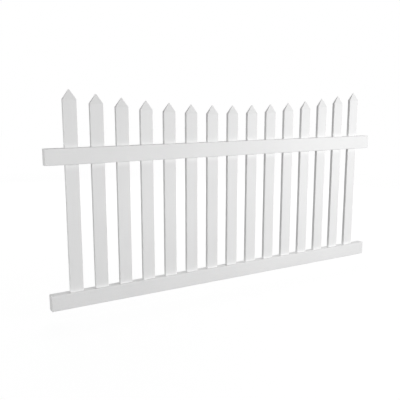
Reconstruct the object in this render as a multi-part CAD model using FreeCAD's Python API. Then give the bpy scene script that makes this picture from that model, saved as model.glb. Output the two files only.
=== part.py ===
"""White vinyl picket fence panel with a scalloped top.

Two hollow extruded rails carry a row of hollow extruded pickets. Each picket passes through punched slots
in the upper rail, goes in through a slot in the top wall of the lower rail and stands on its floor. Each
picket ends in a moulded pyramid cap, and each rail end is closed by a moulded end cap.

Frame, in millimetres: X runs along the panel from its left end to its right end, Y from front to back and
Z up. The origin is the centre of the lower rail's left end face, where a post or bracket holds the panel.
"""

import FreeCAD
import Part

import math
import os

from FreeCAD import Placement, Rotation, Vector

# Layout of the panel
PICKET_COUNT = 15
PICKET_SPACING = 150.0  # from centre to centre
RAIL_OVERHANG = 150.0  # from a rail's end to the centre of the nearest picket
UPPER_RAIL_RISE = 814.0  # from the lower rail's centre line to the upper rail's

# Rail extrusion
RAIL_DEPTH = 50.0
RAIL_HEIGHT = 90.0
RAIL_WALL = 2.5
RAIL_CORNER_RADIUS = 3.0
SLOT_CLEARANCE = 0.3  # all round a picket where it passes through a rail's wall

# Picket extrusion
PICKET_WIDTH = 76.0
PICKET_THICKNESS = 22.0
PICKET_WALL = 2.0
PICKET_CORNER_RADIUS = 2.0

# Scalloped top: the picket ends lie on an arc that dips between the two outer pickets
OUTER_SHOULDER_RISE = 1162.0  # from the underside of the lower rail to the outer pickets' top ends
SCALLOP_DIP = 88.0

# Moulded pyramid cap on each picket
CAP_COLLAR = 2.5  # upright band below the four sloping faces
CAP_POINT_RISE = 54.0  # from the picket's top end to the point
CAP_POINT_FLAT = 4.0  # the blunt point, across both ways
CAP_EDGE_RADIUS = 1.0  # along the four edges that run up to the point
CAP_WALL = 2.0
CAP_CROWN = 9.0  # depth of solid plastic under the point
CAP_SKIRT = 25.0  # how far the cap reaches down inside the picket
CAP_CLEARANCE = 0.3  # between the skirt and the picket's inner walls

# Moulded cap on each rail end
END_PLATE = 3.0
END_SKIRT = 30.0
END_WALL = 2.0
END_CLEARANCE = 0.3

# Drain holes in the floor of the lower rail, one towards each end, halfway between two pickets
DRAIN_DIAMETER = 8.0
DRAIN_GAP = 2  # the number of the gap with the hole, counted from either end

SMALLEST_RADIUS = 0.6  # a corner that comes out tighter than this is left square
CUT_MARGIN = 1.0  # how far a cutting tool reaches past what it cuts

panel_length = 2 * RAIL_OVERHANG + (PICKET_COUNT - 1) * PICKET_SPACING
underside = -RAIL_HEIGHT / 2
rail_length = panel_length - 2 * END_PLATE


def rising_edges(shape):
    """The edges of a shape that join two different heights."""
    return [edge for edge in shape.Edges if edge.BoundBox.ZLength > CUT_MARGIN]


def bar(width, depth, radius, low, high):
    """Solid bar about the Z axis from height low to height high, with its upright edges rounded."""
    shape = Part.makeBox(width, depth, high - low, Vector(-width / 2, -depth / 2, low))
    if radius < SMALLEST_RADIUS:
        return shape
    return shape.makeFillet(radius, rising_edges(shape))


def pyramid(width, depth, flat, low, high):
    """Four sloping planes from a rectangle at height low to a small square at height high."""
    x = width / 2
    y = depth / 2
    half_flat = flat / 2
    shape = Part.makeWedge(-x, low, -y, -half_flat, -half_flat, x, high, y, half_flat, half_flat)
    shape.rotate(Vector(0, 0, 0), Vector(1, 0, 0), 90)
    return shape


def tube(width, depth, radius, wall, low, high):
    """Open tube about the Z axis with an even wall."""
    outside = bar(width, depth, radius, low, high)
    inside = bar(width - 2 * wall, depth - 2 * wall, radius - wall, low - CUT_MARGIN, high + CUT_MARGIN)
    return outside.cut(inside)


def picket_centre(index):
    return RAIL_OVERHANG + index * PICKET_SPACING


def shoulder_height(index):
    """Top end of a picket, on the arc through the outer pickets' top ends that dips at mid-panel."""
    half_chord = (PICKET_COUNT - 1) * PICKET_SPACING / 2
    arc_radius = (half_chord**2 + SCALLOP_DIP**2) / (2 * SCALLOP_DIP)
    from_middle = picket_centre(index) - panel_length / 2
    rise = arc_radius - math.sqrt(arc_radius**2 - from_middle**2)
    return underside + OUTER_SHOULDER_RISE - SCALLOP_DIP + rise


def picket(index):
    foot = underside + RAIL_WALL
    top_end = shoulder_height(index)
    shape = tube(PICKET_WIDTH, PICKET_THICKNESS, PICKET_CORNER_RADIUS, PICKET_WALL, foot, top_end)
    shape.translate(Vector(picket_centre(index), 0, 0))
    return shape


def picket_cap(index):
    """Hollow pyramid head flush with the picket's faces, and a skirt that fits down inside the picket."""
    point = pyramid(PICKET_WIDTH, PICKET_THICKNESS, CAP_POINT_FLAT, CAP_COLLAR, CAP_POINT_RISE)
    point = point.makeFillet(CAP_EDGE_RADIUS, rising_edges(point))
    collar = bar(PICKET_WIDTH, PICKET_THICKNESS, PICKET_CORNER_RADIUS, 0, CAP_COLLAR)
    outline = bar(PICKET_WIDTH, PICKET_THICKNESS, PICKET_CORNER_RADIUS, CAP_COLLAR, CAP_POINT_RISE)
    head = collar.fuse(outline.common(point))
    inset = 2 * (PICKET_WALL + CAP_CLEARANCE)
    width = PICKET_WIDTH - inset
    depth = PICKET_THICKNESS - inset
    radius = PICKET_CORNER_RADIUS - PICKET_WALL - CAP_CLEARANCE
    skirt = tube(width, depth, radius, CAP_WALL, -CAP_SKIRT, 0)
    hollow_top = CAP_POINT_RISE - CAP_CROWN
    hollow = pyramid(width - 2 * CAP_WALL, depth - 2 * CAP_WALL, CAP_POINT_FLAT, 0, hollow_top)
    shape = head.cut(hollow).fuse(skirt).removeSplitter()
    shape.translate(Vector(picket_centre(index), 0, shoulder_height(index)))
    return shape


def slot_cutter(index, low, high):
    """What the punch removes from a rail for one picket: a slot with square corners."""
    room = 2 * SLOT_CLEARANCE
    cutter = bar(PICKET_WIDTH + room, PICKET_THICKNESS + room, 0, low, high)
    cutter.translate(Vector(picket_centre(index), 0, 0))
    return cutter


def along_panel(shape, x, z):
    """Turns a shape made about the Z axis so that it runs along X from x, about height z."""
    shape.Placement = Placement(Vector(x, 0, z), Rotation(Vector(0, 1, 0), 90))
    return shape


def rail(axis_height, slots_from):
    """Tube along the panel with a slot for every picket, cut from height slots_from up through its top."""
    blank = tube(RAIL_HEIGHT, RAIL_DEPTH, RAIL_CORNER_RADIUS, RAIL_WALL, 0, rail_length)
    shape = along_panel(blank, END_PLATE, axis_height)
    top = axis_height + RAIL_HEIGHT / 2 + CUT_MARGIN
    return shape.cut([slot_cutter(index, slots_from, top) for index in range(PICKET_COUNT)])


def upper_rail():
    axis_height = UPPER_RAIL_RISE
    return rail(axis_height, axis_height - RAIL_HEIGHT / 2 - CUT_MARGIN)


def lower_rail():
    shape = rail(0, 0)
    from_end = picket_centre(DRAIN_GAP - 1) + PICKET_SPACING / 2
    for x in (from_end, panel_length - from_end):
        drill_from = Vector(x, 0, underside - CUT_MARGIN)
        shape = shape.cut(Part.makeCylinder(DRAIN_DIAMETER / 2, RAIL_WALL + 2 * CUT_MARGIN, drill_from))
    return shape


def rail_end_cap(axis_height, right):
    """Plate of the rail's section over its open end, with a skirt that fits inside the rail."""
    plate = bar(RAIL_HEIGHT, RAIL_DEPTH, RAIL_CORNER_RADIUS, 0, END_PLATE)
    inset = 2 * (RAIL_WALL + END_CLEARANCE)
    radius = RAIL_CORNER_RADIUS - RAIL_WALL - END_CLEARANCE
    skirt = tube(RAIL_HEIGHT - inset, RAIL_DEPTH - inset, radius, END_WALL, END_PLATE, END_PLATE + END_SKIRT)
    shape = along_panel(plate.fuse(skirt).removeSplitter(), 0, axis_height)
    if right:
        shape.rotate(Vector(panel_length / 2, 0, 0), Vector(0, 0, 1), 180)
    return shape


def main():
    nodes = {"upper_rail": upper_rail(), "lower_rail": lower_rail()}
    for name, axis_height in (("upper", UPPER_RAIL_RISE), ("lower", 0.0)):
        nodes[f"{name}_rail_left_end_cap"] = rail_end_cap(axis_height, right=False)
        nodes[f"{name}_rail_right_end_cap"] = rail_end_cap(axis_height, right=True)
    for index in range(PICKET_COUNT):
        nodes[f"picket_{index + 1:02d}"] = picket(index)
        nodes[f"picket_cap_{index + 1:02d}"] = picket_cap(index)
    os.makedirs("parts", exist_ok=True)
    for name, shape in nodes.items():
        shape.exportStep(f"parts/{name}.step")
        print(name, len(shape.Solids), shape.isValid(), round(shape.Volume))


main()
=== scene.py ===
"""Looks of a white vinyl picket fence panel, built around its packed frame.

Every piece is a closed surface worked out as whole arrays: stacked loops for the pickets and caps, and a
loop carried along the panel for the rails. Lengths are in metres, X along the panel, Y to the back, Z up.
"""

import math

import bpy
import numpy as np
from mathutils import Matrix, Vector


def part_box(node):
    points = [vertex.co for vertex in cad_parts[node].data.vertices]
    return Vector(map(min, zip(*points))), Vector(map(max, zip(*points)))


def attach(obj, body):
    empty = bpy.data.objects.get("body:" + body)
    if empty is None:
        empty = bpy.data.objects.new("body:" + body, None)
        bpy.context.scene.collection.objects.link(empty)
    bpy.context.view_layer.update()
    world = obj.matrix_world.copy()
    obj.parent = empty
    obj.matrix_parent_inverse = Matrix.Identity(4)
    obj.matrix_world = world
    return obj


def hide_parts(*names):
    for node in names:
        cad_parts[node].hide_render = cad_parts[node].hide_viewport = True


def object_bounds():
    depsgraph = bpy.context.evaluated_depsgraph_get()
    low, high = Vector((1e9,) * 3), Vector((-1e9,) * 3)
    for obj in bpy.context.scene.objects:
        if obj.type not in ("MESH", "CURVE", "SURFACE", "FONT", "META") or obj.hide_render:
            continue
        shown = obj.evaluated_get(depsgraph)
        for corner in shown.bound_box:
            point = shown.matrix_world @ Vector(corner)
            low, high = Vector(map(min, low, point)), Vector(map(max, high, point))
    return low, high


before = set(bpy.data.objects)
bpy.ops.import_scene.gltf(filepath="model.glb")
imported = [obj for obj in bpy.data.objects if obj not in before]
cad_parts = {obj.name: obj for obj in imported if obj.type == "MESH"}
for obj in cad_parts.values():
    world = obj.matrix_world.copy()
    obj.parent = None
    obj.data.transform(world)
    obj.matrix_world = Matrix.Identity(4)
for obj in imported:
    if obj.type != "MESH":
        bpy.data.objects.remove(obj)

bl_info = {
    "name": "Picket Fence Panel",
    "version": (1, 0, 0),
    "blender": (4, 5, 0),
    "location": "View3D > Sidebar > Fence",
    "description": "Makes the rails, pickets, caps and studio of a white vinyl picket fence panel",
    "category": "Add Mesh",
}

CAD_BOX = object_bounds()
BODY = "root"
PICKETS = sorted(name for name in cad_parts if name.startswith("picket_") and "cap" not in name)

# Surfaces
WELD = 1e-6  # points closer than this are one point
STATION_DECIMALS = 9  # stations along a rail are rounded to a nanometre, so that equal ones are one
SHARP_ANGLE = math.radians(35)  # edges that turn more than this are shaded sharp
ARC_STEPS = 6  # segments round each corner of a loop
CORNER_POINTS = ARC_STEPS + 3  # points of a loop at each corner: its arc, and one beside either end of it
EDGE_STEPS = 4  # segments over the rounded edge of an end cap's plate
RAIL_BAND = 0.006  # flat strip beside the rounded edges of rails and end caps, over which their wear fades
PICKET_BAND = 0.004  # the same strip on pickets and their caps
WIDEST_BAND = 0.45  # the most of half a flat side that such a strip may take
END_CAP_HOLLOW_RADIUS = 0.0004  # rounding inside an end cap's skirt
CAP_SKIRT_RADIUS = 0.0002  # rounding of a pyramid cap's skirt and of the hollow over it
POINT_TOP = 0.6  # width of a pyramid cap's top, against its blunt point
POINT_TOP_RADIUS = 0.4  # rounding of that top, against the edge radius

# Noises in the vinyl, each as its scale, about how many spots a metre holds, and its finer layers
LINE_NOISE = 1.0, 2.0  # on coordinates that are stretched already
CLOUD_NOISE = 3.1, 3.0
RIPPLE_NOISE = 7.0, 1.0
DUST_NOISE = 45.0, 4.0
RUB_NOISE = 70.0, 3.0
SPECK_NOISE = 160.0, 3.0

# Greys of those noises at which what they draw begins, and at which it is full
LINE_GREYS = 0.3, 0.7
MOTTLE_GREYS = 0.25, 0.75  # of the clouds and the lines together
DUST_GREYS = 0.3, 0.7
RUB_GREYS = 0.45, 0.65
SPECK_GREYS = 0.54, 0.68

# Stretch of the coordinates along X, Y and Z: lines along an extrusion, even grain on a moulding
RAIL_LINES = 1.3, 700.0, 700.0
PICKET_LINES = 700.0, 700.0, 1.3
GRAIN = 900.0, 900.0, 900.0

# Vinyl
VINYL_IOR = 1.53
LINE_SHARE = 0.25  # part of the fine lines in the white's mottle, where the clouds have the rest
BATCH_CHANGE = 0.12  # the most by which one piece's mottle differs from another's
FULL_PAINTED_LIGHT = 0.2  # share of the painted light's reach over which the painted light on the pickets is fullest
PAINTED_LIGHT_FADE = 2.0  # power by which that painted light then fades
DUST_AND_SHADE_SLOPE = 0.5, 0.95  # upward part of the normal at which dust, which is also painted shade on the tops, begins to lie, and at which it is full
THIN_DUST = 0.45  # dust between its patches, against the patches
RUBBED = 0.14  # the most roughness that rubbing adds to an edge
SATIN_SPREAD = 0.05  # roughness by which the lines go either way
DIRT_DULLS = 0.8  # roughness that a full cover of dust, splash specks and painted shade would add

# Studio
WHITE = 1.0, 1.0, 1.0, 1.0
IMAGE_WIDTH = 36.0  # the camera's sensor, in millimetres, across the square picture
FLOOR_REACH = 20.0  # half the floor's width
LAMPLIT_FLOOR = 3.0, 7.0  # distances from the panel's middle over which the lamps' light on the floor fades
SOFTBOXES = {  # where each stands, its width and its height
    "high_right": ((3.0, -2.6, 1.7), 1.4, 1.0),
    "low_right": ((2.9, -3.0, 0.5), 1.6, 1.2),
    "left": ((-0.6, -3.6, 0.4), 1.8, 1.2),
    "left_end": ((-3.4, -0.5, 0.6), 1.4, 1.4),
    "back": ((2.2, 4.4, 2.6), 2.4, 1.0),
    "back_right": ((4.4, 3.2, 1.2), 2.0, 1.0),
}


class RailSettings(bpy.types.PropertyGroup):
    """Sizes of the two extruded rails."""

    corner_radius: bpy.props.FloatProperty(
        name="Corner Radius", description="Rounding of the rail's long edges",
        default=0.003, unit="LENGTH",
    )
    wall: bpy.props.FloatProperty(
        name="Wall", description="Thickness of the extruded wall",
        default=0.0025, unit="LENGTH",
    )
    slot_clearance: bpy.props.FloatProperty(
        name="Slot Clearance", description="Gap round a picket in its slot",
        default=0.0003, unit="LENGTH",
    )
    drain_diameter: bpy.props.FloatProperty(
        name="Drain Diameter", description="Drain holes in the lower rail's floor",
        default=0.008, unit="LENGTH",
    )


class EndCapSettings(bpy.types.PropertyGroup):
    """Sizes of the moulded caps on the rail ends."""

    plate: bpy.props.FloatProperty(
        name="Plate", description="Thickness of the plate over the rail's end",
        default=0.003, unit="LENGTH",
    )
    edge_radius: bpy.props.FloatProperty(
        name="Edge Radius", description="Rounding round the plate's outer face",
        default=0.0008, unit="LENGTH",
    )
    wall: bpy.props.FloatProperty(
        name="Skirt Wall", description="Thickness of the skirt inside the rail",
        default=0.002, unit="LENGTH",
    )
    clearance: bpy.props.FloatProperty(
        name="Clearance", description="Gap between the skirt and the rail",
        default=0.0003, unit="LENGTH",
    )
    seam: bpy.props.FloatProperty(
        name="Seam", description="Small bevel where the plate meets the rail",
        default=0.0004, unit="LENGTH",
    )


class PicketSettings(bpy.types.PropertyGroup):
    """Sizes of the extruded pickets."""

    corner_radius: bpy.props.FloatProperty(
        name="Corner Radius", description="Rounding of the upright edges",
        default=0.002, unit="LENGTH",
    )
    wall: bpy.props.FloatProperty(
        name="Wall", description="Thickness of the extruded wall",
        default=0.002, unit="LENGTH",
    )


class CapSettings(bpy.types.PropertyGroup):
    """Sizes of the moulded pyramid caps."""

    rise: bpy.props.FloatProperty(
        name="Rise", description="Height of the point above the picket's end",
        default=0.054, unit="LENGTH",
    )
    collar: bpy.props.FloatProperty(
        name="Collar", description="Upright band below the slopes",
        default=0.0025, unit="LENGTH",
    )
    point_flat: bpy.props.FloatProperty(
        name="Point", description="Width of the blunt point",
        default=0.004, unit="LENGTH",
    )
    edge_radius: bpy.props.FloatProperty(
        name="Edge Radius", description="Rounding of the edges that meet at the point",
        default=0.001, unit="LENGTH",
    )
    wall: bpy.props.FloatProperty(
        name="Skirt Wall", description="Thickness of the skirt inside the picket",
        default=0.002, unit="LENGTH",
    )
    crown: bpy.props.FloatProperty(
        name="Crown", description="Solid plastic under the point",
        default=0.009, unit="LENGTH",
    )
    clearance: bpy.props.FloatProperty(
        name="Clearance", description="Gap between the skirt and the picket",
        default=0.0003, unit="LENGTH",
    )
    seam: bpy.props.FloatProperty(
        name="Seam", description="Small bevel where a cap meets its picket",
        default=0.0004, unit="LENGTH",
    )


class VinylSettings(bpy.types.PropertyGroup):
    """Colour and finish of the white vinyl."""

    colour: bpy.props.FloatVectorProperty(
        name="Colour", description="White of clean vinyl",
        default=(0.82, 0.82, 0.82, 1.0), size=4, subtype="COLOR",
    )
    shade: bpy.props.FloatVectorProperty(
        name="Shade", description="Darkest cloud of the same white",
        default=(0.775, 0.775, 0.775, 1.0), size=4, subtype="COLOR",
    )
    # Painted shade: the pyramid caps' white is made greyer than the other vinyl, standing in for the shade
    # on their slopes
    cap_painted_shade: bpy.props.FloatProperty(
        name="Cap White", description="White of the pyramid caps against the other vinyl",
        default=0.965, subtype="FACTOR",
    )
    # Partly painted shade: this colour is that of dust and splashes, and the dust on what faces up also
    # stands in for the shade on the tops
    dust: bpy.props.FloatVectorProperty(
        name="Dust", description="Colour of settled dust and splashes",
        default=(0.52, 0.517, 0.51, 1.0), size=4, subtype="COLOR",
    )
    # Most of the dust on what faces up, which is partly painted shade on the tops
    dust_and_shade_cover: bpy.props.FloatProperty(
        name="Dust Cover", description="Most of the dust on what faces up",
        default=0.3, subtype="FACTOR",
    )
    splash_cover: bpy.props.FloatProperty(
        name="Splash Cover", description="Most of the specks near the ground",
        default=0.16, subtype="FACTOR",
    )
    splash_height: bpy.props.FloatProperty(
        name="Splash Height", description="How far up the specks thin out",
        default=0.16, unit="LENGTH",
    )
    # Painted light: bands of the pickets beside the rails are painted whiter, standing in for light bounced
    # off the rails' faces. This is the white of that painted light, and how far from a rail it reaches.
    lit_by_painted_light: bpy.props.FloatVectorProperty(
        name="Sheltered", description="White of vinyl that sun and rain don't reach",
        default=(0.95, 0.95, 0.95, 1.0), size=4, subtype="COLOR",
    )
    painted_light_reach: bpy.props.FloatProperty(
        name="Shelter Reach", description="How far from a rail the pickets stay whiter",
        default=0.04, unit="LENGTH",
    )
    # Strength of that painted light on the pickets just below the upper rail, just above it and just above
    # the lower rail
    painted_light_under_upper_rail: bpy.props.FloatProperty(
        name="Under Upper Rail", description="How sheltered the pickets are just below the upper rail",
        default=0.68, subtype="FACTOR",
    )
    painted_light_over_upper_rail: bpy.props.FloatProperty(
        name="Over Upper Rail", description="How sheltered the pickets are just above the upper rail",
        default=0.26, subtype="FACTOR",
    )
    painted_light_over_lower_rail: bpy.props.FloatProperty(
        name="Over Lower Rail", description="How sheltered the pickets are just above the lower rail",
        default=0.3, subtype="FACTOR",
    )
    roughness: bpy.props.FloatProperty(
        name="Roughness", description="Middle of the satin finish",
        default=0.54, subtype="FACTOR",
    )
    die_line_depth: bpy.props.FloatProperty(
        name="Die Line Depth", description="Depth of the fine lines along an extrusion",
        default=0.00002, unit="LENGTH",
    )
    ripple_depth: bpy.props.FloatProperty(
        name="Ripple Depth", description="Depth of the slow waves in a flat wall",
        default=0.00025, unit="LENGTH",
    )


class StudioSettings(bpy.types.PropertyGroup):
    """Camera, floor and lamps."""

    lens: bpy.props.FloatProperty(
        name="Lens", description="Focal length",
        default=48.99, unit="CAMERA",
    )
    eye: bpy.props.FloatVectorProperty(
        name="Eye", description="Where the camera stands",
        default=(-0.7392, -2.9099, 1.0959), subtype="TRANSLATION",
    )
    turn: bpy.props.FloatProperty(
        name="Turn", description="Camera's turn to the right of straight ahead",
        default=math.radians(30.32), subtype="ANGLE",
    )
    tilt: bpy.props.FloatProperty(
        name="Tilt", description="Camera's tilt below the horizon",
        default=math.radians(10.06), subtype="ANGLE",
    )
    ground_gap: bpy.props.FloatProperty(
        name="Ground Gap", description="Height of the lower rail above the floor",
        default=0.05, unit="LENGTH",
    )
    floor_bounce: bpy.props.FloatProperty(
        name="Floor Bounce", description="Share of the light that the floor throws up at the panel",
        default=0.06, subtype="FACTOR",
    )
    shadow_share: bpy.props.FloatProperty(
        name="Shadow Share", description="Share of the floor's white that a shadow can take",
        default=0.08, subtype="FACTOR",
    )
    lamps_on_floor: bpy.props.FloatProperty(
        name="Lamps on Floor", description="Level of the lamps' light on the floor round the panel",
        default=0.45, subtype="FACTOR",
    )
    room_light: bpy.props.FloatProperty(
        name="Room Light", description="Even light from above and all round",
        default=0.319, subtype="FACTOR",
    )
    high_right_power: bpy.props.FloatProperty(
        name="High Right Power", description="Softbox above the right end, in front",
        default=36.0, unit="POWER",
    )
    low_right_power: bpy.props.FloatProperty(
        name="Low Right Power", description="Low softbox in front of the right end",
        default=40.5, unit="POWER",
    )
    left_power: bpy.props.FloatProperty(
        name="Left Power", description="Low softbox in front of the left end",
        default=49.5, unit="POWER",
    )
    left_end_power: bpy.props.FloatProperty(
        name="Left End Power", description="Softbox that faces the left ends of the rails",
        default=50.5, unit="POWER",
    )
    back_power: bpy.props.FloatProperty(
        name="Back Power", description="High softbox behind the panel",
        default=122.0, unit="POWER",
    )
    back_right_power: bpy.props.FloatProperty(
        name="Back Right Power", description="Softbox behind the right end",
        default=55.0, unit="POWER",
    )


def middle_of(node):
    """The middle of a node's box."""
    low, high = np.array(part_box(node))
    return (low + high) / 2


def half_of(node):
    """Half the size of a node's box along each axis."""
    low, high = np.array(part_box(node))
    return (high - low) / 2


def picket_spacing():
    """Distance from one picket's middle to the next."""
    return float(middle_of(PICKETS[1])[0] - middle_of(PICKETS[0])[0])


def rings(half_x, half_y, radius, height, band):
    """Stacked closed loops about the Z axis: rectangles with rounded corners, one for each height.

    A point is its corner's centre, plus the radius along an angle that sweeps a quarter turn at each corner,
    plus, for the point beside each end of an arc, a slide of one band along the flat side.
    Returns points[height, around, (x, y, z, edge)], with edge 1 on the arcs and 0 beside them.
    """
    corner = np.repeat(np.arange(4), CORNER_POINTS)
    sweep = np.tile(np.concatenate([[0], np.linspace(0, 1, ARC_STEPS + 1), [1]]), 4)
    slide = np.tile(np.concatenate([[-1], np.zeros(ARC_STEPS + 1), [1]]), 4)
    angle = (corner + sweep) * math.pi / 2
    cos = np.cos(angle)
    sin = np.sin(angle)
    sign_x = np.array([1, -1, -1, 1])[corner]
    sign_y = np.array([1, 1, -1, -1])[corner]
    half_x, half_y, radius, height = np.broadcast_arrays(*np.atleast_1d(half_x, half_y, radius, height))
    flat_x = (half_x - radius)[:, None]
    flat_y = (half_y - radius)[:, None]
    radius = radius[:, None]
    room = np.minimum(band, WIDEST_BAND * (flat_x * np.abs(sin) + flat_y * np.abs(cos)))
    x = sign_x * flat_x + radius * cos - slide * room * sin
    y = sign_y * flat_y + radius * sin + slide * room * cos
    edge = 1 - np.abs(slide)
    return np.stack(np.broadcast_arrays(x, y, height[:, None], edge), axis=-1)


def skin(points, closed=False):
    """Quads between each loop and the next, and from the last to the first where the stack is closed."""
    loops, around = points.shape[:2]
    index = np.arange(loops * around).reshape(loops, around)
    upper = np.roll(index, -1, axis=0)
    quads = np.stack([index, np.roll(index, -1, axis=1), np.roll(upper, -1, axis=1), upper], axis=-1)
    return quads if closed else quads[:-1]


def joined(*surfaces):
    """Several surfaces, each as points and quads, put into one list of each."""
    starts = np.cumsum([0] + [len(points) for points, _ in surfaces[:-1]])
    points = np.concatenate([points for points, _ in surfaces])
    quads = np.concatenate([quads + start for (_, quads), start in zip(surfaces, starts)])
    return points, quads


def welded(points, quads):
    """Merges points that share a place and turns the quads that this narrows at a pole into triangles."""
    places = np.round(points[:, :3] / WELD).astype(np.int64)
    _, first, index = np.unique(places, axis=0, return_index=True, return_inverse=True)
    quads = index.ravel()[quads]
    narrow_start = quads[:, 0] == quads[:, 1]
    narrow_end = quads[:, 2] == quads[:, 3]
    faces = quads[~(narrow_start | narrow_end)].tolist()
    faces += quads[narrow_start & ~narrow_end][:, [0, 2, 3]].tolist()
    faces += quads[narrow_end & ~narrow_start][:, [0, 1, 2]].tolist()
    return points[first], faces


def rail_loops(x, half_depth, half_height, radius, slot_half):
    """The rail's section at each station x along the panel, with the edge lines of the slots on it.

    The loops are those of rings, laid along X, with four points added: at plus and minus half a slot's
    depth on the top side, and again on the floor side.
    """
    x = np.asarray(x, float)
    loops = rings(half_depth, half_height, radius, x, RAIL_BAND)
    across = np.array([1, -1, -1, 1]) * slot_half
    up = np.array([1, 1, -1, -1]) * half_height
    lines = np.stack(np.broadcast_arrays(across, up, x[:, None], 0.0), axis=-1)
    after = np.array([1, 1, 3, 3]) * CORNER_POINTS
    loops = np.insert(loops, after, lines, axis=1)
    return loops[..., [2, 0, 1, 3]]


def drilled(corners, radius):
    """Fills a square, given by its four corners, around a round hole at its middle.

    The hole's points are the middle plus the radius along angles that go once round. Each corner is joined
    to the quarter of the circle next to it, and each side to the circle's point nearest its middle.
    """
    sides = np.stack([corners[1] - corners[0], corners[3] - corners[0]])
    axes = sides / np.linalg.norm(sides[:, :3], axis=1, keepdims=True)
    here = np.arange(4 * ARC_STEPS)
    angle = math.pi + here * math.pi / (2 * ARC_STEPS)
    circle = corners.mean(axis=0) + radius * np.stack([np.cos(angle), np.sin(angle)], axis=-1) @ axes
    after = (here + 1) % len(here)
    fans = np.stack([here // ARC_STEPS, 4 + after, 4 + here, 4 + here], axis=-1)
    side = np.arange(4)
    middle = 4 + (side + 1) * ARC_STEPS % len(here)
    flanks = np.stack([side, (side + 1) % 4, middle, middle], axis=-1)
    return np.concatenate([corners, circle]), np.concatenate([fans, flanks])


def drain(corners, inner_corners, radius):
    """A round hole through a wall: a drilled square on each side and the bore between their circles."""
    outer = drilled(corners, radius)
    inner = drilled(inner_corners, radius)
    mouth = outer[0][4:]
    bore = np.stack([mouth, mouth + inner_corners.mean(axis=0) - corners.mean(axis=0)])
    return joined(outer, inner, (bore.reshape(-1, 4), skin(bore).reshape(-1, 4)))


def rail_surface(node, sizes, slots, slot_half, slotted_floor, drains):
    """A hollow rail as one closed surface.

    Its section is carried along the outside, over the far end, back along the inside and over the near end.
    Where a slot goes through a wall, the outer and the inner quad there give way to four walls between them.
    Where a drain does, in a square as wide as the slots are deep, they give way to a drilled square on each
    side and a round wall between them.
    """
    centre = middle_of(node)
    half = half_of(node)
    breaks = [centre[0] - half[0], centre[0] + half[0]]
    breaks += [x + sign * slot_half[0] for x in slots for sign in (-1, 1)]
    breaks += [x + sign * slot_half[1] for x in drains for sign in (-1, 1)]
    x = np.unique(np.round(breaks, STATION_DECIMALS))
    inner = half - sizes.wall
    outside = rail_loops(x, half[1], half[2], sizes.corner_radius, slot_half[1])
    inside = rail_loops(x[::-1], inner[1], inner[2], sizes.corner_radius - sizes.wall, slot_half[1])
    points = np.concatenate([outside, inside])
    points[..., 1:3] += centre[1:]
    quads = skin(points, closed=True)
    points = points.reshape(-1, 4)
    spans = len(x) - 1
    middles = (x[1:] + x[:-1]) / 2
    out_rows = np.arange(spans)
    back_rows = 2 * spans - out_rows
    top_column = CORNER_POINTS
    floor_column = 3 * CORNER_POINTS + 2
    slotted_columns = (top_column, floor_column) if slotted_floor else (top_column,)
    in_slot = np.isclose(middles[:, None], np.asarray(slots)[None]).any(axis=1)
    keep = np.ones(quads.shape[:2], bool)
    walls = []
    for column in slotted_columns:
        mouth = quads[out_rows[in_slot], column]
        inner_mouth = quads[back_rows[in_slot], column][:, ::-1]
        sides = [mouth, np.roll(mouth, -1, axis=1), np.roll(inner_mouth, -1, axis=1), inner_mouth]
        walls.append(np.stack(sides, axis=-1).reshape(-1, 4))
        keep[out_rows[in_slot], column] = False
        keep[back_rows[in_slot], column] = False
    holes = []
    for hole in drains:
        row = int(np.argmin(np.abs(middles - hole)))
        ends = (row, floor_column), (back_rows[row], floor_column)
        holes.append(drain(*(points[quads[end]] for end in ends), sizes.drain_diameter / 2))
        for end in ends:
            keep[end] = False
    return joined((points, np.concatenate([quads[keep], *walls])), *holes)


def rail_end_surface(node, sizes, rail, outward):
    """A rail's end cap: loops from the plate's inner middle, out along the skirt and back over the plate.

    The last loops turn the plate's edge over a quarter circle. The cap for the other end is turned half
    round about the upright axis.
    """
    centre = middle_of(node)
    half = half_of(node)
    skirt = half[1:] - rail.wall - sizes.clearance
    hollow = skirt - sizes.wall
    depth = 2 * half[0] - sizes.plate
    radius = rail.corner_radius
    inner_radius = radius - rail.wall - sizes.clearance
    # Half depth, half height, corner radius and place along the rail of each loop
    rows = [
        [0, 0, 0, 0],
        [*hollow, END_CAP_HOLLOW_RADIUS, 0],
        [*hollow, END_CAP_HOLLOW_RADIUS, -depth],
        [*skirt, inner_radius, -depth],
        [*skirt, inner_radius, 0],
        [*(half[1:] - sizes.seam), radius - sizes.seam, 0],
        [*half[1:], radius, sizes.seam],
    ]
    for angle in np.linspace(0, math.pi / 2, EDGE_STEPS + 1):
        inset = sizes.edge_radius * (1 - math.cos(angle))
        rise = sizes.plate - sizes.edge_radius * (1 - math.sin(angle))
        rows.append([*(half[1:] - inset), radius - inset, rise])
    rows.append([0, 0, 0, sizes.plate])
    points = rings(*np.array(rows).T, RAIL_BAND)[..., [2, 0, 1, 3]]
    points[..., :2] *= outward
    points[..., 0] += centre[0] + outward * (half[0] - sizes.plate)
    points[..., 1:3] += centre[1:]
    return points


def picket_surface(node, sizes):
    """A hollow picket: its outer loop carried up, over the top end, and its inner loop back down."""
    centre = middle_of(node)
    half = half_of(node)
    low = centre[2] - half[2]
    high = centre[2] + half[2]
    inner = half[:2] - sizes.wall
    outer_radius = sizes.corner_radius
    inner_radius = outer_radius - sizes.wall
    # Half width, half depth, corner radius and height of each loop
    rows = [
        [*half[:2], outer_radius, low],
        [*half[:2], outer_radius, high],
        [*inner, inner_radius, high],
        [*inner, inner_radius, low],
    ]
    points = rings(*np.array(rows).T, PICKET_BAND)
    points[..., :2] += centre[:2]
    return points


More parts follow.
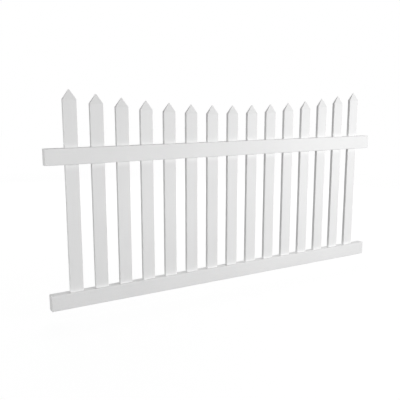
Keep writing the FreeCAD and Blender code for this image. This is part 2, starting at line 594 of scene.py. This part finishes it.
def picket_cap_surface(cap, node, sizes, picket):
    """A pyramid cap: loops from the hollow's roof down inside the skirt, up its outside and to the point.

    Between the collar and the point the loops shrink evenly with height, which makes four flat slopes with
    rounded edges, and a small step at either end of the slopes softens the edge there.
    """
    centre = middle_of(cap)
    full = half_of(cap)[:2]
    top_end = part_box(node)[1][2]
    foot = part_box(cap)[0][2]
    point = top_end + sizes.rise
    roof = point - sizes.crown
    flat = np.full(2, sizes.point_flat / 2)
    skirt = full - picket.wall - sizes.clearance
    hollow = skirt - sizes.wall
    radius = picket.corner_radius
    soft = sizes.edge_radius
    lean = (full - flat) / (sizes.rise - sizes.collar)
    # Half width, half depth, corner radius and height of each loop
    rows = [
        [0, 0, 0, roof],
        [*flat, CAP_SKIRT_RADIUS, roof],
        [*hollow, CAP_SKIRT_RADIUS, top_end],
        [*hollow, CAP_SKIRT_RADIUS, foot],
        [*skirt, CAP_SKIRT_RADIUS, foot],
        [*skirt, CAP_SKIRT_RADIUS, top_end],
        [*(full - sizes.seam), radius - sizes.seam, top_end],
        [*full, radius, top_end + sizes.seam],
        [*full, radius, top_end + sizes.collar - soft],
        [*(full - lean * soft), radius, top_end + sizes.collar + soft],
        [*(flat + lean * soft), soft, point - soft],
        [*(flat * POINT_TOP), soft * POINT_TOP_RADIUS, point],
        [0, 0, 0, point],
    ]
    points = rings(*np.array(rows).T, PICKET_BAND)
    points[..., :2] += centre[:2]
    return points


def add_piece(node, points, quads, material):
    """Makes one closed mesh, smooth between its sharp edges, that stands for a node."""
    name = f"white_{node}"
    points, faces = welded(points.reshape(-1, 4), quads.reshape(-1, 4))
    mesh = bpy.data.meshes.new(name)
    mesh.from_pydata(points[:, :3].tolist(), [], faces)
    if mesh.validate():
        raise RuntimeError(f"{name} has broken or doubled faces")
    mesh.attributes.new("edge", "FLOAT", "POINT").data.foreach_set("value", points[:, 3].astype(np.float32))
    mesh.shade_smooth()
    mesh.set_sharp_from_angle(angle=SHARP_ANGLE)
    mesh.materials.append(material)
    piece = bpy.data.objects.new(name, mesh)
    bpy.context.scene.collection.objects.link(piece)
    even = piece.modifiers.new("even_shading", "WEIGHTED_NORMAL")
    even.keep_sharp = True
    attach(piece, BODY)
    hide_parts(node)


def add_node(tree, kind, inputs, **settings):
    """Adds a shader node, with each input joined to a socket or set to a value, and returns it."""
    made = tree.nodes.new(f"ShaderNode{kind}")
    for name, value in settings.items():
        setattr(made, name, value)
    for key, value in inputs.items():
        if isinstance(value, bpy.types.NodeSocket):
            tree.links.new(value, made.inputs[key])
        else:
            made.inputs[key].default_value = value
    return made


def math_of(tree, operation, *values):
    """The output of a Math node."""
    return add_node(tree, "Math", dict(enumerate(values)), operation=operation).outputs["Value"]


def noise_of(tree, place, scale, detail):
    """The grey output of a Noise node, from 0 to 1 about a half."""
    inputs = {"Vector": place, "Scale": scale, "Detail": detail}
    return add_node(tree, "TexNoise", inputs).outputs["Fac"]


def ramp_of(tree, value, low, high, to_low=0.0, to_high=1.0):
    """A value mapped from low..high to to_low..to_high, and held beyond."""
    inputs = {"Value": value, "From Min": low, "From Max": high, "To Min": to_low, "To Max": to_high}
    return add_node(tree, "MapRange", inputs).outputs["Result"]


def blend_of(tree, share, first, second):
    """A colour that goes from first to second as share goes from 0 to 1."""
    made = add_node(tree, "Mix", {}, data_type="RGBA")
    for key, value in (("Factor_Float", share), ("A_Color", first), ("B_Color", second)):
        socket = next(socket for socket in made.inputs if socket.identifier == key)
        if isinstance(value, bpy.types.NodeSocket):
            tree.links.new(value, socket)
        else:
            socket.default_value = value
    return next(socket for socket in made.outputs if socket.identifier == "Result_Color")


def toned(colour, tone):
    """A colour with its three levels multiplied by a tone."""
    return [*(tone * level for level in colour[:3]), 1.0]


def grey(level):
    """A colour with three equal levels."""
    return toned(WHITE, level)


def mottled_white(tree, settings, place, lines, number, white):
    """The clean vinyl's colour, from white to its shade by a mottle of slow clouds and the fine lines.

    The number of the piece moves its whole mottle a little up or down, and white is the tone of them all,
    which on the pyramid caps is a painted shade.
    """
    clouds = noise_of(tree, place, *CLOUD_NOISE)
    batch = add_node(tree, "TexWhiteNoise", {"W": number}, noise_dimensions="1D").outputs["Value"]
    slow = math_of(tree, "MULTIPLY", clouds, 1 - LINE_SHARE)
    mottle = math_of(tree, "MULTIPLY_ADD", lines, LINE_SHARE, slow)
    centred = math_of(tree, "SUBTRACT", mottle, BATCH_CHANGE / 2)
    tone = math_of(tree, "MULTIPLY_ADD", batch, BATCH_CHANGE, centred)
    shading = ramp_of(tree, tone, *MOTTLE_GREYS)
    return blend_of(tree, shading, toned(settings.colour, white), toned(settings.shade, white))


def with_painted_light(tree, settings, colour, height, face, side, most):
    """The colour, painted whiter on one side of a rail's face by a share that fades with distance.

    This is painted light, which stands in for light bounced off the rail onto the pickets. Close to the face
    the share is the most, and over the rest of the painted light's reach it falls to nothing as a power of
    the distance that is left.
    """
    away = math_of(tree, "MULTIPLY", math_of(tree, "SUBTRACT", height, face), side)
    near = ramp_of(tree, away, settings.painted_light_reach, FULL_PAINTED_LIGHT * settings.painted_light_reach)
    fade = math_of(tree, "MULTIPLY", math_of(tree, "POWER", near, PAINTED_LIGHT_FADE), most)
    share = math_of(tree, "MULTIPLY", fade, math_of(tree, "GREATER_THAN", away, 0.0))
    return blend_of(tree, share, colour, settings.lit_by_painted_light)


def dirt_and_shade_cover(tree, settings, place, height):
    """How far dust and splash specks cover the vinyl: patchy dust on what faces up, which is partly painted
    shade on the tops, or specks that thin out upwards.
    """
    normal = add_node(tree, "NewGeometry", {}).outputs["Normal"]
    upward = add_node(tree, "SeparateXYZ", {"Vector": normal}).outputs["Z"]
    # Dust on what faces up, which also stands in for painted shade on the tops
    dust_and_shade_on_tops = ramp_of(tree, upward, *DUST_AND_SHADE_SLOPE, 0.0, settings.dust_and_shade_cover)
    patches = ramp_of(tree, noise_of(tree, place, *DUST_NOISE), *DUST_GREYS, THIN_DUST, 1.0)
    dust = math_of(tree, "MULTIPLY", dust_and_shade_on_tops, patches)
    ground = CAD_BOX[0][2]
    low_down = ramp_of(tree, height, ground, ground + settings.splash_height, settings.splash_cover, 0.0)
    specks = ramp_of(tree, noise_of(tree, place, *SPECK_NOISE), *SPECK_GREYS)
    splashes = math_of(tree, "MULTIPLY", low_down, specks)
    return math_of(tree, "MAXIMUM", dust, splashes)


def satin_finish(tree, settings, place, lines, dirt_and_shade):
    """The roughness: it varies along the fine lines, and rubbed edges, dust, specks and the painted shade on
    the tops add to it.
    """
    edge = add_node(tree, "Attribute", {}, attribute_name="edge").outputs["Fac"]
    rubbing = ramp_of(tree, noise_of(tree, place, *RUB_NOISE), *RUB_GREYS, 0.0, RUBBED)
    rubbed = math_of(tree, "MULTIPLY", edge, rubbing)
    glossiest = settings.roughness - SATIN_SPREAD
    dullest = settings.roughness + SATIN_SPREAD
    satin = ramp_of(tree, lines, *LINE_GREYS, glossiest, dullest)
    return math_of(tree, "MULTIPLY_ADD", dirt_and_shade, DIRT_DULLS, math_of(tree, "ADD", satin, rubbed))


def relief(tree, settings, place, lines):
    """The normal of a surface whose height is the fine lines plus slow waves, each by its own depth."""
    waves = noise_of(tree, place, *RIPPLE_NOISE)
    fine = math_of(tree, "MULTIPLY", lines, settings.die_line_depth)
    height = math_of(tree, "MULTIPLY_ADD", waves, settings.ripple_depth, fine)
    return add_node(tree, "Bump", {"Height": height, "Distance": 1.0, "Strength": 1.0}).outputs["Normal"]


def vinyl(name, settings, stretch, axis, step, white=1.0, painted_light_bands=()):
    """White rigid vinyl with a satin finish, on Object coordinates.

    stretch draws a noise out into the fine lines that a die leaves along an extrusion, or packs it into the
    even grain of a moulding. Pieces are numbered by steps along the axis, and each differs a little from the
    next. white is the tone of this vinyl against the others; on the pyramid caps it is a painted shade. Each
    of the bands of painted light is the height of a rail's face, the side of it, up or down, on which the
    pickets are painted whiter as light bounced off the rail, and how strong that painted light is there.
    """
    material = bpy.data.materials.new(name)
    material.use_nodes = True
    tree = material.node_tree
    shader = tree.nodes["Principled BSDF"]
    place = add_node(tree, "TexCoord", {}).outputs["Object"]
    axes = add_node(tree, "SeparateXYZ", {"Vector": place}).outputs
    stretched = add_node(tree, "Mapping", {"Vector": place, "Scale": stretch}).outputs["Vector"]
    lines = noise_of(tree, stretched, *LINE_NOISE)
    number = math_of(tree, "ROUND", math_of(tree, "DIVIDE", axes[axis], step))
    colour = mottled_white(tree, settings, place, lines, number, white)
    # Painted light: bands of the pickets beside the rails are painted whiter
    for face, side, most in painted_light_bands:
        colour = with_painted_light(tree, settings, colour, axes["Z"], face, side, most)
    # Dust and splash specks, where the dust on what faces up is partly painted shade on the tops
    dirt_and_shade = dirt_and_shade_cover(tree, settings, place, axes["Z"])
    tree.links.new(blend_of(tree, dirt_and_shade, colour, settings.dust), shader.inputs["Base Color"])
    tree.links.new(satin_finish(tree, settings, place, lines, dirt_and_shade), shader.inputs["Roughness"])
    tree.links.new(relief(tree, settings, place, lines), shader.inputs["Normal"])
    shader.inputs["IOR"].default_value = VINYL_IOR
    return material


def seen_directly(tree):
    """1 for rays that see the white background, from the camera, off gloss or through glass, or else 0."""
    path = add_node(tree, "LightPath", {}).outputs
    gloss = math_of(tree, "MAXIMUM", path["Is Glossy Ray"], path["Is Transmission Ray"])
    return math_of(tree, "MAXIMUM", path["Is Camera Ray"], gloss)


def white_room(level):
    """A world that looks white and lights evenly at the given level."""
    world = bpy.data.worlds.new("white_room")
    world.use_nodes = True
    tree = world.node_tree
    light = tree.nodes["Background"]
    light.inputs["Color"].default_value = WHITE
    light.inputs["Strength"].default_value = level
    look = add_node(tree, "Background", {"Color": WHITE, "Strength": 1.0})
    shares = {0: seen_directly(tree), 1: light.outputs[0], 2: look.outputs[0]}
    mixed = add_node(tree, "MixShader", shares)
    tree.links.new(mixed.outputs[0], tree.nodes["World Output"].inputs["Surface"])
    return world


def white_floor_paint(middle, settings):
    """Paint that bounces little light up at the panel, and looks white but for the faint shadow on it.

    Its look is a share that the lamps light and the panel shades, and a glow that makes up the rest of the
    white: less of it near the panel, where the lamps' light falls, and more far off, where only the room's
    does. From underneath it is clear, so that the panel can be looked at from below.
    """
    material = bpy.data.materials.new("white_floor_paint")
    material.use_nodes = True
    tree = material.node_tree
    tree.nodes.remove(tree.nodes["Principled BSDF"])
    share = settings.shadow_share
    far = 1 - share * settings.room_light
    near = far - share * settings.lamps_on_floor
    place = add_node(tree, "TexCoord", {}).outputs["Object"]
    distance = add_node(tree, "VectorMath", {0: place, 1: middle}, operation="DISTANCE").outputs["Value"]
    rest = ramp_of(tree, distance, *LAMPLIT_FLOOR, near, far)
    bounce = add_node(tree, "BsdfDiffuse", {"Color": grey(settings.floor_bounce)})
    shadow = add_node(tree, "BsdfDiffuse", {"Color": grey(share)})
    glow = add_node(tree, "Emission", {"Color": WHITE, "Strength": rest})
    look = add_node(tree, "AddShader", {0: shadow.outputs[0], 1: glow.outputs[0]})
    mixed = add_node(tree, "MixShader", {0: seen_directly(tree), 1: bounce.outputs[0], 2: look.outputs[0]})
    underneath = add_node(tree, "NewGeometry", {}).outputs["Backfacing"]
    clear = add_node(tree, "BsdfTransparent", {})
    shown = add_node(tree, "MixShader", {0: underneath, 1: mixed.outputs[0], 2: clear.outputs[0]})
    tree.links.new(shown.outputs[0], tree.nodes["Material Output"].inputs["Surface"])
    return material


def add_camera(settings):
    """Adds the camera at the eye, turned to the right and tilted down."""
    camera = bpy.data.objects.new("camera", bpy.data.cameras.new("camera"))
    camera.data.sensor_width = IMAGE_WIDTH
    camera.data.lens = settings.lens
    camera.location = settings.eye
    camera.rotation_euler = (math.pi / 2 - settings.tilt, 0, -settings.turn)
    bpy.context.scene.collection.objects.link(camera)
    bpy.context.scene.camera = camera


def add_floor(low, middle, settings):
    """Adds a square floor, wide enough to look endless, a gap below the panel's lowest corner."""
    corners = middle + FLOOR_REACH * np.array([[-1, -1, 0], [1, -1, 0], [1, 1, 0], [-1, 1, 0]])
    corners[:, 2] = low[2] - settings.ground_gap
    mesh = bpy.data.meshes.new("floor")
    mesh.from_pydata(corners.tolist(), [], [(0, 1, 2, 3)])
    mesh.materials.append(white_floor_paint(middle, settings))
    floor = bpy.data.objects.new("floor", mesh)
    bpy.context.scene.collection.objects.link(floor)


def add_softbox(name, place, aim, width, height, power):
    """Adds an area lamp, turned to what it lights, that neither the camera nor the vinyl's gloss shows."""
    lamp = bpy.data.lights.new(name, "AREA")
    lamp.shape = "RECTANGLE"
    lamp.size = width
    lamp.size_y = height
    lamp.energy = power
    holder = bpy.data.objects.new(name, lamp)
    holder.location = place
    holder.rotation_euler = (Vector(aim) - Vector(place)).to_track_quat("-Z", "Y").to_euler()
    holder.visible_camera = False
    holder.visible_glossy = False
    bpy.context.scene.collection.objects.link(holder)


class FENCE_OT_rails(bpy.types.Operator):
    """Make the hollow rails, slotted for every picket"""

    bl_idname = "fence.make_rails"
    bl_label = "Make Rails"

    def execute(self, context):
        sizes = context.scene.fence_rails
        rise = middle_of("upper_rail")[2] - middle_of("lower_rail")[2]
        material = vinyl("satin_rail_vinyl", context.scene.fence_vinyl, RAIL_LINES, "Z", rise)
        slots = [middle_of(node)[0] for node in PICKETS]
        slot_half = half_of(PICKETS[0])[:2] + sizes.slot_clearance
        # A drain lies midway between the second and the third picket from either end
        drains = [(slots[1] + slots[2]) / 2, (slots[-2] + slots[-3]) / 2]
        for node, slotted_floor, holes in (("upper_rail", True, []), ("lower_rail", False, drains)):
            points, quads = rail_surface(node, sizes, slots, slot_half, slotted_floor, holes)
            add_piece(node, points, quads, material)
        return {"FINISHED"}


class FENCE_OT_rail_end_caps(bpy.types.Operator):
    """Make the four caps that close the rails' ends"""

    bl_idname = "fence.make_rail_end_caps"
    bl_label = "Make Rail End Caps"

    def execute(self, context):
        scene = context.scene
        material = vinyl("satin_end_cap_vinyl", scene.fence_vinyl, GRAIN, "X", picket_spacing())
        for height in ("upper", "lower"):
            for side, outward in (("left", -1), ("right", 1)):
                node = f"{height}_rail_{side}_end_cap"
                points = rail_end_surface(node, scene.fence_end_caps, scene.fence_rails, outward)
                add_piece(node, points, skin(points), material)
        return {"FINISHED"}


class FENCE_OT_pickets(bpy.types.Operator):
    """Make the hollow pickets"""

    bl_idname = "fence.make_pickets"
    bl_label = "Make Pickets"

    def execute(self, context):
        finish = context.scene.fence_vinyl
        upper_low, upper_high = (corner[2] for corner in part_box("upper_rail"))
        lower_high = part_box("lower_rail")[1][2]
        # Bands of painted light: the pickets are painted whiter beside each rail face, standing in for light
        # bounced off the rails
        painted_light_bands = [
            (upper_low, -1, finish.painted_light_under_upper_rail),
            (upper_high, 1, finish.painted_light_over_upper_rail),
            (lower_high, 1, finish.painted_light_over_lower_rail),
        ]
        step = picket_spacing()
        material = vinyl("satin_picket_vinyl", finish, PICKET_LINES, "X", step, painted_light_bands=painted_light_bands)
        for node in PICKETS:
            points = picket_surface(node, context.scene.fence_pickets)
            add_piece(node, points, skin(points, closed=True), material)
        return {"FINISHED"}


class FENCE_OT_picket_caps(bpy.types.Operator):
    """Make the pyramid cap on every picket"""

    bl_idname = "fence.make_picket_caps"
    bl_label = "Make Picket Caps"

    def execute(self, context):
        scene = context.scene
        finish = scene.fence_vinyl
        # The caps' vinyl is made greyer as painted shade on their slopes
        material = vinyl("satin_cap_vinyl", finish, GRAIN, "X", picket_spacing(), white=finish.cap_painted_shade)
        for node in PICKETS:
            cap = node.replace("picket_", "picket_cap_")
            points = picket_cap_surface(cap, node, scene.fence_caps, scene.fence_pickets)
            add_piece(cap, points, skin(points), material)
        return {"FINISHED"}


class FENCE_OT_studio(bpy.types.Operator):
    """Make the white floor, the soft lamps and the camera"""

    bl_idname = "fence.make_studio"
    bl_label = "Make Studio"

    def execute(self, context):
        scene = context.scene
        settings = scene.fence_studio
        low, high = np.array(CAD_BOX)
        middle = (low + high) / 2
        add_camera(settings)
        scene.view_settings.view_transform = "Standard"
        scene.world = white_room(settings.room_light)
        add_floor(low, middle, settings)
        for name, (place, width, height) in SOFTBOXES.items():
            power = getattr(settings, f"{name}_power")
            add_softbox(f"{name}_softbox", place, middle, width, height, power)
        return {"FINISHED"}


class FENCE_PT_panel(bpy.types.Panel):
    """Lists the steps that make the fence panel, and their settings"""

    bl_label = "Picket Fence Panel"
    bl_space_type = "VIEW_3D"
    bl_region_type = "UI"
    bl_category = "Fence"

    def draw(self, context):
        for operator in OPERATORS:
            self.layout.operator(operator.bl_idname)
        for name, group in SETTINGS.items():
            box = self.layout.box()
            box.label(text=group.__doc__)
            for prop in group.__annotations__:
                box.prop(getattr(context.scene, name), prop)


SETTINGS = {
    "fence_rails": RailSettings,
    "fence_end_caps": EndCapSettings,
    "fence_pickets": PicketSettings,
    "fence_caps": CapSettings,
    "fence_vinyl": VinylSettings,
    "fence_studio": StudioSettings,
}
OPERATORS = (
    FENCE_OT_rails,
    FENCE_OT_rail_end_caps,
    FENCE_OT_pickets,
    FENCE_OT_picket_caps,
    FENCE_OT_studio,
)


def register():
    """Adds the settings to the scene, and the operators and the panel."""
    for name, group in SETTINGS.items():
        bpy.utils.register_class(group)
        setattr(bpy.types.Scene, name, bpy.props.PointerProperty(type=group))
    for operator in OPERATORS:
        bpy.utils.register_class(operator)
    bpy.utils.register_class(FENCE_PT_panel)


def unregister():
    """Takes away what register added."""
    bpy.utils.unregister_class(FENCE_PT_panel)
    for operator in reversed(OPERATORS):
        bpy.utils.unregister_class(operator)
    for name, group in SETTINGS.items():
        delattr(bpy.types.Scene, name)
        bpy.utils.unregister_class(group)


def main():
    """Makes every piece and the studio."""
    register()
    bpy.ops.fence.make_rails()
    bpy.ops.fence.make_rail_end_caps()
    bpy.ops.fence.make_pickets()
    bpy.ops.fence.make_picket_caps()
    bpy.ops.fence.make_studio()


if __name__ == "__main__":
    main()
